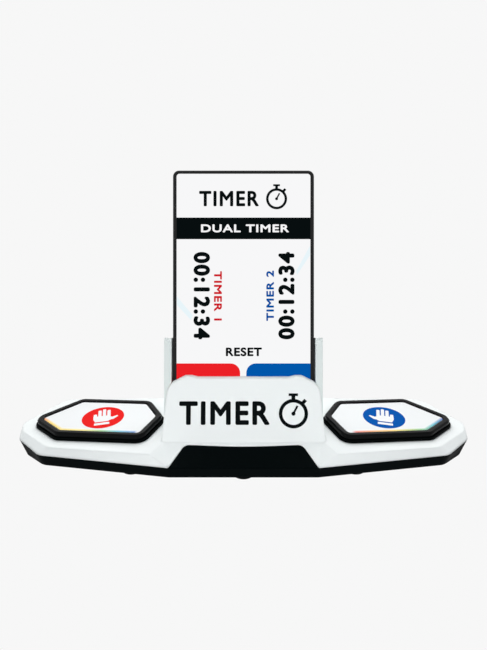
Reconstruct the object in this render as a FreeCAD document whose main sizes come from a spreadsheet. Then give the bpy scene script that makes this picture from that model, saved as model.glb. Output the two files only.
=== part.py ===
import FreeCAD, Part
import Sketcher
import math
import os

# Two-player cube timer: a swept base with two press pads and a rest for an upright display.
# Millimetres, +Z up, +X along the wings, the front at -Y, the origin at the middle of the foot plane.

V = FreeCAD.Vector

# Driving dimensions
SIZES = {
    # heights of the housing
    "foot_height": 1.5,
    "seam_height": 8.0,
    "loft_height": 15.0,
    "deck_height": 13.4,
    "deck_slope": 0.024,
    "wall": 2.2,
    # outline of the housing at the seam, for the left wing
    "nose_out": 0.1,
    "nose_y": 40.6,
    "shoulder_out": 68.4,
    "shoulder_y": 29.5,
    "tip_front_out": 83.5,
    "tip_front_y": 14.8,
    "tip_out": 86.1,
    "tip_y": 5.0,
    "rear_out": 69.5,
    "rear_y": 25.5,
    "shoulder_radius": 8.0,
    "tip_radius": 6.0,
    "rear_radius": 10.0,
    # how far the tapered outlines step in above and below the seam
    "rim_nose_in": 13.6,
    "rim_nose_back": 5.6,
    "rim_shoulder_in": 8.8,
    "rim_shoulder_back": 2.1,
    "rim_tip_front_in": 3.0,
    "rim_tip_front_back": 5.2,
    "rim_tip_in": 2.1,
    "rim_tip_back": 1.4,
    "rim_rear_in": 2.2,
    "rim_rear_front": 4.5,
    "foot_nose_back": 1.3,
    "foot_shoulder_in": 1.6,
    "foot_shoulder_back": 0.9,
    "foot_tip_front_in": 4.3,
    "foot_tip_front_front": 3.7,
    "foot_tip_in": 5.0,
    "foot_rear_in": 3.0,
    "foot_rear_front": 3.2,
    # sloped black front panel
    "panel_front_out": -0.1,
    "panel_rear_out": -7.2,
    "panel_run": 13.8,
    "panel_rise": 4.5,
    "panel_bow": 1.4,
    "panel_bow_radius": 300.0,
    "panel_radius": 4.0,
    "panel_gap": 0.2,
    "panel_root": 1.5,
    "panel_root_in": 1.0,
    "panel_lip": 3.3,
    "nose_block_out": 9.4,
    "slope_flare": 11.9,
    "slope_rear_y": 25.2,
    # tower in front of the display
    "tower_base_out": 5.3,
    "tower_shoulder_out": 2.4,
    "tower_shoulder_height": 37.5,
    "tower_bevel_out": -0.6,
    "tower_bevel_height": 40.7,
    "tower_crown_out": -7.0,
    "tower_height": 43.6,
    "tower_dip": 0.7,
    "tower_dip_out": -13.5,
    "tower_foot_y": 25.2,
    "tower_top_y": 10.9,
    "tower_wall": 2.0,
    "tower_back": 2.6,
    "tower_shoulder_radius": 5.0,
    "tower_crown_round": 3.0,
    # display and its channel, measured in the leaning frame of the display
    "lean_angle": 21.0,
    "display_y": 18.28,
    "display_z": 10.4,
    "display_width": 75.0,
    "display_length": 143.0,
    "display_depth": 8.5,
    "display_radius": 3.2,
    "display_rim": 0.6,
    "glass_depth": 0.8,
    "panel_depth": 1.6,
    "back_depth": 0.9,
    "shell_wall": 2.4,
    "camera_width": 22.0,
    "camera_height": 22.0,
    "camera_depth": 1.2,
    "camera_in": 5.0,
    "camera_radius": 4.0,
    "sheet_gap": 0.05,
    "core_radius": 1.0,
    "slot_gap": 0.6,
    "slot_front": 2.2,
    "slot_wall": 3.8,
    "rest_back": 2.4,
    "rest_back_gap": 0.4,
    "rest_height": 54.0,
    "rest_shelf": 1.5,
    "rest_lip": 5.0,
    "rest_notch": 16.0,
    "rest_notch_deep": 6.0,
    "rest_dip": 0.8,
    "cushion_depth": 0.9,
    "cushion_gap": 0.3,
    "foot_plate_width": 60.0,
    "foot_plate_depth": 20.0,
    "foot_plate": 2.0,
    "rib_thick": 2.4,
    "rib_spacing": 44.0,
    "rib_height": 32.0,
    "rest_opening_gap": 0.3,
    # pads, measured in the frame of each pad
    "pad_out": 39.7,
    "pad_y": 5.2,
    "pad_yaw": 6.0,
    "pad_rise": 3.5,
    "pad_travel": 1.5,
    "insert_tip_x": 33.0,
    "insert_tip_y": 3.5,
    "insert_rear_out": 17.3,
    "insert_rear_in": 20.0,
    "insert_rear_y": 16.0,
    "insert_heel_x": 28.7,
    "insert_heel_y": 3.3,
    "insert_front_in": 24.0,
    "insert_front_out": 18.6,
    "insert_front_y": 14.2,
    "insert_radius": 2.2,
    "insert_depth": 1.6,
    "bezel_width": 3.7,
    "bezel_slope": 1.1,
    "bezel_lip": 0.7,
    "bezel_chamfer": 0.8,
    "bezel_drop": 0.25,
    "bezel_wall": 1.5,
    "collar_width": 1.0,
    "collar_height": 1.5,
    "collar_chamfer": 0.4,
    "collar_gap": 0.35,
    "collar_depth": 2.2,
    "flange_out": 1.3,
    "flange_depth": 1.2,
    "flange_gap": 0.3,
    "carrier_plate": 1.4,
    "post_radius": 2.2,
    "post_spread": 17.0,
    "post_clear": 0.8,
    "sleeve_gap": 0.08,
    "sleeve_wall": 1.6,
    "sleeve_height": 5.2,
    "plunger_radius": 4.5,
    "plate_radius": 7.0,
    "plate_depth": 0.8,
    "plate_gap": 0.4,
    "plate_boss": 1.0,
    "plate_over": 1.0,
    "spring_radius": 10.0,
    "spring_wire": 0.55,
    "spring_turns": 3.0,
    "spring_seat": 2.2,
    "spring_seat_wall": 2.2,
    "wire_notch": 2.4,
    # touch contacts
    "contact_in": 20.5,
    "contact_width": 20.0,
    "contact_height": 9.0,
    "contact_depth": 1.7,
    "contact_low": 8.0,
    "bracket_in": 5.5,
    "bracket_height": 13.0,
    "bracket_depth": 1.4,
    "bracket_low": 6.0,
    "bracket_screw_in": 8.0,
    "bracket_forward": 3.4,
    "bracket_boss": 2.2,
    "bracket_boss_roof": 0.5,
    "bracket_screw_radius": 1.0,
    "bracket_screw_head_radius": 1.9,
    "bracket_screw_head": 0.9,
    "lead_forward": 3.3,
    "lead_end_gap": 0.15,
    "lead_radius": 0.6,
    # fasteners and feet
    "screw_radius": 1.3,
    "screw_head_radius": 2.6,
    "screw_head": 1.6,
    "boss_radius": 3.6,
    "screw_gap": 0.05,
    "screw_clear": 0.3,
    "screw_end_gap": 0.2,
    "boss_roof": 1.0,
    "case_screw_top": 10.4,
    "case_boss_top": 11.4,
    "case_head_low": 1.7,
    "case_head_top": 3.3,
    "rest_screw_low": 9.4,
    "rest_screw_clear": 0.4,
    "rest_screw_near": 3.0,
    "rest_screw_far": 12.0,
    "front_screw_out": 8.5,
    "front_screw_y": 30.5,
    "rear_screw_out": 10.0,
    "rear_screw_y": 18.0,
    "wing_screw_out": 65.9,
    "wing_screw_y": 15.9,
    "front_foot_out": 19.5,
    "front_foot_y": 28.2,
    "middle_foot_y": 31.8,
    "rear_foot_out": 46.5,
    "rear_foot_y": 13.5,
    "bracket_post_radius": 3.0,
    "foot_radius": 6.0,
    "foot_recess": 0.8,
}


class Size:
    """A length together with the formula of sheet cells that gives it."""

    def __init__(self, value, text):
        self.value = value
        self.text = text

    def __add__(self, other):
        other = lifted(other)
        return Size(self.value + other.value, "(%s + %s)" % (self.text, other.text))

    def __radd__(self, other):
        return lifted(other) + self

    def __sub__(self, other):
        other = lifted(other)
        return Size(self.value - other.value, "(%s - %s)" % (self.text, other.text))

    def __rsub__(self, other):
        return lifted(other) - self

    def __mul__(self, other):
        other = lifted(other)
        return Size(self.value * other.value, "(%s * %s)" % (self.text, other.text))

    def __rmul__(self, other):
        return lifted(other) * self

    def __truediv__(self, other):
        other = lifted(other)
        return Size(self.value / other.value, "(%s / %s)" % (self.text, other.text))

    def __neg__(self):
        return Size(-self.value, "(-%s)" % self.text)


def lifted(number):
    """The number as a Size, so that formulas can mix both."""
    if isinstance(number, Size):
        return number
    return Size(float(number), "(%r)" % float(number))


def sine(angle):
    return Size(math.sin(math.radians(angle.value)), "sin(%s)" % angle.text)


def cosine(angle):
    return Size(math.cos(math.radians(angle.value)), "cos(%s)" % angle.text)


class Dimensions:
    """The cells of the sheet, one attribute for each alias."""


doc = FreeCAD.newDocument("cube_timer")
sheet = doc.addObject("Spreadsheet::Sheet", "Dims")
d = Dimensions()
for row, (word, number) in enumerate(SIZES.items(), start=1):
    sheet.set("A%d" % row, word)
    sheet.set("B%d" % row, str(number))
    sheet.setAlias("B%d" % row, word)
    setattr(d, word, Size(float(number), "Dims.%s" % word))
doc.recompute()

UP = V(0, 0, 1)
ALONG_X = V(1, 0, 0)
ALONG_Y = V(0, 1, 0)
# how far cutters stand clear of what they cut
FAR = 20
CLEAR = 5
PAST = 1


# Frames: a placement together with the formula that gives it

class Frame:
    """A placement together with the formula of sheet cells that gives it."""

    def __init__(self, placement, text):
        self.placement = placement
        self.text = text

    def __mul__(self, other):
        return Frame(self.placement.multiply(other.placement), "%s * %s" % (self.text, other.text))


def shifted(x=0, y=0, z=0):
    x, y, z = lifted(x), lifted(y), lifted(z)
    place = FreeCAD.Placement(V(x.value, y.value, z.value), FreeCAD.Rotation())
    return Frame(place, "placement(vector(%s; %s; %s); rotationz(0))" % (x.text, y.text, z.text))


def turned(axis, angle):
    angle = lifted(angle)
    vector = {"x": ALONG_X, "y": ALONG_Y, "z": UP}[axis]
    place = FreeCAD.Placement(V(), FreeCAD.Rotation(vector, angle.value))
    return Frame(place, "placement(vector(0; 0; 0); rotation%s(%s))" % (axis, angle.text))


def put(feature, frame):
    """Place a feature, bound to the sheet."""
    feature.Placement = frame.placement
    feature.setExpression("Placement", frame.text)
    return feature


# Half-widths of the housing, each measured out from the side of the display

half = d.display_width / 2
nose_x = half + d.nose_out
shoulder_x = half + d.shoulder_out
tip_front_x = half + d.tip_front_out
tip_x = half + d.tip_out
rear_x = half + d.rear_out
panel_front = half + d.panel_front_out
panel_rear = half + d.panel_rear_out
tower_base = half + d.tower_base_out
tower_shoulder = half + d.tower_shoulder_out
tower_bevel_x = half + d.tower_bevel_out
tower_crown_x = half + d.tower_crown_out
tower_dip_x = half + d.tower_dip_out
pad_x = half + d.pad_out
contact_x = half - d.contact_in
bracket_screw_x = half - d.bracket_screw_in

WORLD = shifted()
FACING_FRONT = turned("x", 90)
FACING_SIDE = turned("z", 90) * turned("x", 90)
leaning = shifted(0, -d.display_y, d.display_z) * turned("x", -d.lean_angle)
pad_deck = d.deck_height - d.deck_slope * (pad_x - tower_base)
floor_top = d.foot_height + d.wall
pad_floor = floor_top - pad_deck
deck_roll = Size(math.degrees(math.atan(SIZES["deck_slope"])), "atan(Dims.deck_slope)")


def pad_frame(side):
    """The frame of a pad, on the deck at its middle; side is -1 on the left and 1 on the right."""
    return shifted(pad_x * side, -d.pad_y, pad_deck) * turned("y", deck_roll * side) * \
        turned("z", d.pad_yaw * side)


def bind(feature, name, length):
    """Set a property from a formula of the sheet."""
    feature.setExpression(name, lifted(length).text)


# Outlines

def moved_edges(corners, grow):
    """The corners of a counter-clockwise polygon after each side moves outwards."""
    lines = []
    for (x0, y0), (x1, y1) in zip(corners, corners[1:] + corners[:1]):
        length = math.hypot(x1 - x0, y1 - y0)
        nx, ny = (y1 - y0) / length, (x0 - x1) / length
        lines.append((nx, ny, nx * x0 + ny * y0 + grow))
    moved = []
    for i in range(len(corners)):
        (a, b, c), (e, f, g) = lines[i - 1], lines[i]
        det = a * f - b * e
        moved.append(((c * f - b * g) / det, (a * g - c * e) / det))
    return moved


def corner_arc(before, corner, after, radius):
    """The tangent points and the centre that round one corner, and whether it bulges outwards."""
    ux, uy = before[0] - corner[0], before[1] - corner[1]
    vx, vy = after[0] - corner[0], after[1] - corner[1]
    ulen, vlen = math.hypot(ux, uy), math.hypot(vx, vy)
    ux, uy, vx, vy = ux / ulen, uy / ulen, vx / vlen, vy / vlen
    spread = math.acos(max(-1.0, min(1.0, ux * vx + uy * vy))) / 2
    run = radius / math.tan(spread)
    first = (corner[0] + ux * run, corner[1] + uy * run)
    last = (corner[0] + vx * run, corner[1] + vy * run)
    blen = math.hypot(ux + vx, uy + vy)
    far = radius / math.sin(spread)
    centre = (corner[0] + (ux + vx) / blen * far, corner[1] + (uy + vy) / blen * far)
    return first, last, centre, ux * vy - uy * vx < 0


def guide_lines(sketch, points, construction):
    """A closed polygon whose corners are bound to the sheet."""
    count = len(points)
    corners = [V(x.value, y.value, 0) for x, y in points]
    for i in range(count):
        sketch.addGeometry(Part.LineSegment(corners[i], corners[(i + 1) % count]), construction)
    for i in range(count):
        sketch.addConstraint(Sketcher.Constraint("Coincident", i, 2, (i + 1) % count, 1))
        for kind, length in (("DistanceX", points[i][0]), ("DistanceY", points[i][1])):
            index = sketch.addConstraint(Sketcher.Constraint(kind, -1, 1, i, 1, length.value))
            bind(sketch, "Constraints[%d]" % index, length)


def rounded_lines(sketch, points, grow, radii):
    """The outline itself, moved off the guide lines and rounded at its corners."""
    count = len(points)
    shift = lifted(grow)
    moved = moved_edges([(x.value, y.value) for x, y in points], shift.value)
    starts, ends, arcs = list(moved), moved[1:] + moved[:1], {}
    for i in range(count):
        if radii[i] is None:
            continue
        arcs[i] = corner_arc(moved[i - 1], moved[i], moved[(i + 1) % count], lifted(radii[i]).value)
        ends[i - 1] = arcs[i][0]
        starts[i] = arcs[i][1]
    for i in range(count):
        sketch.addGeometry(Part.LineSegment(V(*starts[i], 0), V(*ends[i], 0)), False)
    for i in range(count):
        side = count + i
        if shift.value == 0:
            sketch.addConstraint(Sketcher.Constraint("PointOnObject", side, 1, i))
            sketch.addConstraint(Sketcher.Constraint("PointOnObject", side, 2, i))
            continue
        sketch.addConstraint(Sketcher.Constraint("Parallel", i, side))
        index = sketch.addConstraint(Sketcher.Constraint("Distance", side, 1, i, abs(shift.value)))
        bind(sketch, "Constraints[%d]" % index, shift if shift.value > 0 else -shift)
    for i in range(count):
        previous = count + (i - 1) % count
        if i not in arcs:
            sketch.addConstraint(Sketcher.Constraint("Coincident", previous, 2, count + i, 1))
            continue
        round_corner(sketch, previous, count + i, arcs[i], lifted(radii[i]))


def round_corner(sketch, before, after, arc, radius):
    """An arc between two sides, tangent to both, with its radius bound to the sheet."""
    first, last, centre, bulges = arc
    begin, finish = (first, last) if bulges else (last, first)
    low, high = [math.atan2(p[1] - centre[1], p[0] - centre[0]) for p in (begin, finish)]
    if high < low:
        high += 2 * math.pi
    circle = Part.Circle(V(*centre, 0), UP, radius.value)
    index = sketch.addGeometry(Part.ArcOfCircle(circle, low, high), False)
    near, far = (1, 2) if bulges else (2, 1)
    sketch.addConstraint(Sketcher.Constraint("Tangent", before, 2, index, near))
    sketch.addConstraint(Sketcher.Constraint("Tangent", index, far, after, 1))
    bound = sketch.addConstraint(Sketcher.Constraint("Radius", index, radius.value))
    bind(sketch, "Constraints[%d]" % bound, radius)


def outline(name, points, grow=0, radii=None, frame=WORLD):
    """A closed sketch through counter-clockwise points.

    grow moves every side outwards. radii is one corner radius for all, or a list with None at each
    sharp corner.
    """
    sketch = doc.addObject("Sketcher::SketchObject", name)
    put(sketch, frame)
    points = [(lifted(x), lifted(y)) for x, y in points]
    if not isinstance(radii, list):
        radii = [radii] * len(points)
    plain = lifted(grow).value == 0 and all(radius is None for radius in radii)
    guide_lines(sketch, points, not plain)
    if not plain:
        rounded_lines(sketch, points, grow, radii)
    return sketch


def rectangle(x0, y0, x1, y1):
    return [(x0, y0), (x1, y0), (x1, y1), (x0, y1)]


def mirrored(points):
    """A whole outline from the points of its right half, in order from the front."""
    return points + [(-lifted(x), y) for x, y in reversed(points)]


# Solids

def prism(name, sketch, direction, forward, backward=0):
    """A sketch drawn out along a direction, to both sides of its plane."""
    feature = doc.addObject("Part::Extrusion", name)
    feature.Base = sketch
    feature.DirMode = "Custom"
    feature.Dir = direction
    feature.Solid = True
    bind(feature, "LengthFwd", forward)
    bind(feature, "LengthRev", backward)
    return feature


def slab(name, points, low, high, grow=0, radii=None):
    """A flat outline between two heights."""
    sketch = outline(name + "_outline", points, grow, radii, shifted(0, 0, low))
    return prism(name, sketch, UP, lifted(high) - low)


def loft(name, *sections):
    feature = doc.addObject("Part::Loft", name)
    feature.Sections = list(sections)
    feature.Solid = True
    feature.Ruled = True
    return feature


def taper(name, points, low, high, grows, radii=(None, None)):
    """An outline that grows or shrinks between two heights."""
    bottom = outline(name + "_low", points, grows[0], radii[0], shifted(0, 0, low))
    top = outline(name + "_high", points, grows[1], radii[1], shifted(0, 0, high))
    return loft(name, bottom, top)


def fuse(name, *shapes):
    feature = doc.addObject("Part::MultiFuse", name)
    feature.Shapes = list(shapes)
    feature.Refine = True
    return feature


def common(name, *shapes):
    feature = doc.addObject("Part::MultiCommon", name)
    feature.Shapes = list(shapes)
    feature.Refine = True
    return feature


def cut(name, base, *tools):
    feature = doc.addObject("Part::Cut", name)
    feature.Base = base
    feature.Tool = tools[0] if len(tools) == 1 else fuse(name + "_tools", *tools)
    feature.Refine = True
    return feature


def box(name, x_range, y_range, z_range, frame=WORLD):
    feature = doc.addObject("Part::Box", name)
    (x0, x1), (y0, y1), (z0, z1) = [[lifted(end) for end in ends] for ends in (x_range, y_range, z_range)]
    bind(feature, "Length", x1 - x0)
    bind(feature, "Width", y1 - y0)
    bind(feature, "Height", z1 - z0)
    return put(feature, frame * shifted(x0, y0, z0))


def cylinder(name, radius, x, y, low, high, frame=WORLD):
    feature = doc.addObject("Part::Cylinder", name)
    bind(feature, "Radius", radius)
    bind(feature, "Height", lifted(high) - low)
    return put(feature, frame * shifted(x, y, low))


pieces = []


def piece(feature, label, frame=WORLD):
    """Name a finished sub-part and put it in its place."""
    feature.Label = label
    put(feature, frame)
    pieces.append(feature)
    return feature


def side_name(label, side):
    return "%s_%s" % (label, "left" if side < 0 else "right")


# Outlines of the housing: at the seam, at the top of the loft and at the foot

seam = mirrored([
    (nose_x, -d.nose_y),
    (shoulder_x, -d.shoulder_y),
    (tip_front_x, -d.tip_front_y),
    (tip_x, -d.tip_y),
    (rear_x, d.rear_y),
])
rim = mirrored([
    (nose_x + d.rim_nose_in, -d.nose_y + d.rim_nose_back),
    (shoulder_x - d.rim_shoulder_in, -d.shoulder_y + d.rim_shoulder_back),
    (tip_front_x - d.rim_tip_front_in, -d.tip_front_y + d.rim_tip_front_back),
    (tip_x - d.rim_tip_in, -d.tip_y + d.rim_tip_back),
    (rear_x - d.rim_rear_in, d.rear_y - d.rim_rear_front),
])
foot_line = mirrored([
    (nose_x, -d.nose_y + d.foot_nose_back),
    (shoulder_x - d.foot_shoulder_in, -d.shoulder_y + d.foot_shoulder_back),
    (tip_front_x - d.foot_tip_front_in, -d.tip_front_y - d.foot_tip_front_front),
    (tip_x - d.foot_tip_in, -d.tip_y),
    (rear_x - d.foot_rear_in, d.rear_y - d.foot_rear_front),
])
half_radii = [None, d.shoulder_radius, d.tip_radius, d.tip_radius, d.rear_radius]
outer_radii = half_radii + half_radii[::-1]
inner_half = [None] + [radius - d.wall for radius in half_radii[1:]]
inner_radii = inner_half + inner_half[::-1]
reach = tip_x + FAR
panel_rear_y = -d.nose_y + d.panel_run
slope_rate = d.panel_rise / d.panel_run
tower_front_rate = (d.tower_foot_y - d.tower_top_y) / (d.tower_height - d.deck_height)
channel_half = d.display_width / 2 + d.slot_gap + d.slot_wall
channel_back = d.display_depth + d.rest_back_gap + d.rest_back
channel_low = -(d.cushion_gap + d.cushion_depth + d.rest_shelf)
bore_grow = d.bezel_width + d.collar_gap
collar_grow = d.bezel_width + d.collar_width

SIDES = (-1, 1)
rest_screw_x = d.rib_spacing / 2 + d.rib_thick / 2 + d.screw_head_radius + d.rest_screw_clear
case_screw_spots = (
    (half + d.front_screw_out, -d.front_screw_y),
    (half + d.rear_screw_out, d.rear_screw_y),
    (half + d.wing_screw_out, d.wing_screw_y),
)
foot_spots = ((half + d.front_foot_out, -d.front_foot_y), (half + d.rear_foot_out, d.rear_foot_y))
CASE_SCREWS = [(x * side, y) for side in SIDES for x, y in case_screw_spots]
REST_SCREWS = [(rest_screw_x * side, y) for side in SIDES for y in (d.rest_screw_near, d.rest_screw_far)]
FEET = [(x * side, y) for side in SIDES for x, y in foot_spots]
FEET += [(lifted(0), -d.middle_foot_y), (lifted(0), d.rear_foot_y)]


def slope_height(y):
    """Height of the sloped front at a distance behind the nose."""
    return d.seam_height + slope_rate * (lifted(y) + d.nose_y)


def lean_y(depth, height):
    """The y of a plane parallel to the display, depth behind its front, at a height."""
    return -d.display_y + (lifted(height) - d.display_z) * sine(d.lean_angle) / cosine(d.lean_angle) + \
        depth / cosine(d.lean_angle)


def above_deck(name, drop):
    """Everything above the decks of the wings, which fall away from the middle."""
    low = d.deck_height - drop
    tip = low - d.deck_slope * (reach - tower_base)
    points = [
        (-reach, tip),
        (-tower_base, low),
        (tower_base, low),
        (reach, tip),
        (reach, low + FAR),
        (-reach, low + FAR),
    ]
    sketch = outline(name + "_line", points, frame=FACING_FRONT)
    return prism(name, sketch, ALONG_Y, d.rear_y + FAR, d.nose_y + FAR)


def front_slope():
    """The space above the sloped front, which flares towards the wings."""
    front_y = -d.nose_y - FAR
    rear_y = -d.slope_rear_y
    points = [(front_y, slope_height(front_y)), (rear_y, slope_height(rear_y)),
              (rear_y, d.tower_height), (front_y, d.tower_height)]
    sketch = outline("slope_line", points, frame=FACING_SIDE)
    over = prism("slope_over", sketch, ALONG_X, reach, reach)
    rate = (panel_front - panel_rear) / d.panel_run
    front_x = nose_x + rate * FAR
    rear_x = nose_x - rate * (d.nose_y - d.slope_rear_y)
    flare = d.slope_flare / (d.deck_height - d.seam_height) * (d.loft_height - d.seam_height)
    sections = []
    for name, out, height in (("slope_low", lifted(0), d.seam_height), ("slope_high", flare, d.loft_height)):
        plan = [(-front_x - out, front_y), (front_x + out, front_y), (rear_x + out, rear_y),
                (-rear_x - out, rear_y)]
        sections.append(outline(name, plan, frame=shifted(0, 0, height)))
    return common("front_slope", over, loft("slope_flared", *sections))


panel_plan = [
    (-panel_front, -d.nose_y),
    (panel_front, -d.nose_y),
    (panel_rear, panel_rear_y),
    (lifted(0), panel_rear_y - d.panel_bow),
    (-panel_rear, panel_rear_y),
]


def panel_radii(grow=0):
    """The panel's corner radii in the order of its plan, after its sides move outwards."""
    corner = d.panel_radius + grow
    return [None, None, corner, d.panel_bow_radius - grow, corner]


def along_side(name, points):
    """A side view of y and z drawn out across the whole width."""
    return prism(name, outline(name + "_line", points, frame=FACING_SIDE), ALONG_X, reach, reach)


def tower_solid(name, wall, low, back):
    """The tower between its leaning face and a plane parallel to the display."""
    points = mirrored([
        (tower_base, low),
        (tower_base, d.deck_height),
        (tower_shoulder, d.tower_shoulder_height),
        (tower_bevel_x, d.tower_bevel_height),
        (tower_crown_x, d.tower_height),
        (tower_dip_x + d.tower_crown_round, d.tower_height),
        (tower_dip_x, d.tower_height - d.tower_dip),
    ])
    radii = [None, None, d.tower_shoulder_radius, d.tower_crown_round, d.tower_crown_round, None, None]
    sketch = outline(name + "_front", points, -wall, radii + radii[::-1], FACING_FRONT)
    across = prism(name + "_across", sketch, ALONG_Y, FAR, d.tower_foot_y + FAR)
    inset = wall / cosine(d.lean_angle)
    top = d.tower_height + d.tower_wall
    side = [
        (-d.tower_foot_y + inset, low),
        (lean_y(back, low), low),
        (lean_y(back, top), top),
        (-d.tower_foot_y + inset + tower_front_rate * (top - d.deck_height), top),
        (-d.tower_foot_y + inset, d.deck_height),
    ]
    return common(name, across, along_side(name + "_along", side))


# Pads

def pad_outline(side):
    """The insert's outline in the pad's frame: a swept hexagon with its long tip outwards."""
    points = [
        (d.insert_tip_x, -d.insert_tip_y),
        (d.insert_rear_out, d.insert_rear_y),
        (-d.insert_rear_in, d.insert_rear_y),
        (-d.insert_heel_x, d.insert_heel_y),
        (-d.insert_front_in, -d.insert_front_y),
        (d.insert_front_out, -d.insert_front_y),
    ]
    if side > 0:
        return points
    return [(-x, y) for x, y in reversed(points)]


def pad_slab(name, side, low, high, grow):
    """A slab of the insert's outline, with its rounding kept concentric."""
    return slab(name, pad_outline(side), low, high, grow, d.insert_radius + grow)


def pad_taper(name, side, low, high, low_grow, high_grow):
    radii = (d.insert_radius + low_grow, d.insert_radius + high_grow)
    return taper(name, pad_outline(side), low, high, (low_grow, high_grow), radii)


insert_bottom = d.pad_rise - d.insert_depth
bezel_top = d.pad_rise + d.bezel_lip
carrier_low = d.bezel_drop - d.carrier_plate
flange_top = -d.wall - d.flange_gap
flange_low = flange_top - d.flange_depth
carrier_roof = insert_bottom - d.carrier_plate
post_low = pad_floor + d.pad_travel + d.post_clear
plate_top = pad_floor + d.plate_boss + d.plate_depth
seat_top = pad_floor + d.spring_seat


def pad_insert(side):
    piece(pad_slab(side_name("insert", side), side, insert_bottom, d.pad_rise, lifted(0)),
          side_name("pad_insert", side), pad_frame(side))


def pad_bezel(side):
    outer = d.bezel_width
    body = pad_slab("bezel_body", side, d.bezel_drop, bezel_top - d.bezel_chamfer, outer)
    edge = pad_taper("bezel_edge", side, bezel_top - d.bezel_chamfer, bezel_top, outer,
                     outer - d.bezel_chamfer)
    hole = pad_slab("bezel_hole", side, d.bezel_drop - PAST, d.pad_rise, lifted(0))
    dish = pad_taper("bezel_dish", side, d.pad_rise, bezel_top, lifted(0), d.bezel_slope)
    piece(cut("bezel", fuse("bezel_solid", body, edge), hole, dish), side_name("pad_bezel", side),
          pad_frame(side))


def pad_collar(side):
    outer = pad_slab("collar_body", side, -d.collar_depth, d.collar_height - d.collar_chamfer, collar_grow)
    edge = pad_taper("collar_edge", side, d.collar_height - d.collar_chamfer, d.collar_height, collar_grow,
                     collar_grow - d.collar_chamfer)
    bore = pad_slab("collar_bore", side, -d.collar_depth - PAST, d.collar_height + PAST, bore_grow)
    piece(cut("collar", fuse("collar_solid", outer, edge), bore), side_name("pad_collar", side),
          pad_frame(side))


def pad_carrier(side):
    """The plate under a pad: platform, skirt, flange, two guide posts and the plunger."""
    skirt = pad_slab("carrier_skirt", side, flange_low, d.bezel_drop, d.bezel_width)
    platform = pad_slab("carrier_platform", side, d.bezel_drop - PAST, insert_bottom, lifted(0))
    flange = pad_slab("carrier_flange", side, flange_low, flange_top, bore_grow + d.flange_out)
    room = pad_slab("carrier_room", side, flange_low - PAST, carrier_low, d.bezel_width - d.bezel_wall)
    roof = pad_slab("carrier_roof", side, carrier_low - PAST, carrier_roof, -d.bezel_wall)
    shell = cut("carrier_shell", fuse("carrier_solid", skirt, platform, flange), room, roof)
    post_high = carrier_roof + d.carrier_plate / 2
    posts = [cylinder("carrier_post", d.post_radius, d.post_spread * way, 0, post_low, post_high)
             for way in SIDES]
    plunger = cylinder("carrier_plunger", d.plunger_radius, 0, 0, plate_top + d.plate_gap + d.pad_travel,
                       post_high)
    piece(fuse("carrier", shell, plunger, *posts), side_name("pad_carrier", side), pad_frame(side))


def pad_spring(side):
    """A round-wire coil between its seat on the floor and the carrier."""
    wire = d.spring_wire
    low = seat_top + wire
    helix = doc.addObject("Part::Helix", "spring_path")
    bind(helix, "Radius", d.spring_radius)
    bind(helix, "Height", carrier_roof - wire - low)
    bind(helix, "Pitch", (carrier_roof - wire - low) / d.spring_turns)
    helix.SegmentLength = 0.5
    circle = doc.addObject("Part::Circle", "spring_section")
    bind(circle, "Radius", wire)
    put(circle, shifted(d.spring_radius, 0, 0) * turned("x", 90))
    coil = doc.addObject("Part::Sweep", "spring_coil")
    coil.Sections = [circle]
    coil.Spine = (helix, [])
    coil.Solid = True
    coil.Frenet = True
    piece(coil, side_name("pad_spring", side), pad_frame(side) * shifted(0, 0, low))


def touch_plate(side):
    plate = cylinder("plate", d.plate_radius, 0, 0, lifted(0), d.plate_depth)
    piece(plate, side_name("touch_plate", side), pad_frame(side) * shifted(0, 0, pad_floor + d.plate_boss))


# Housing

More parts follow.
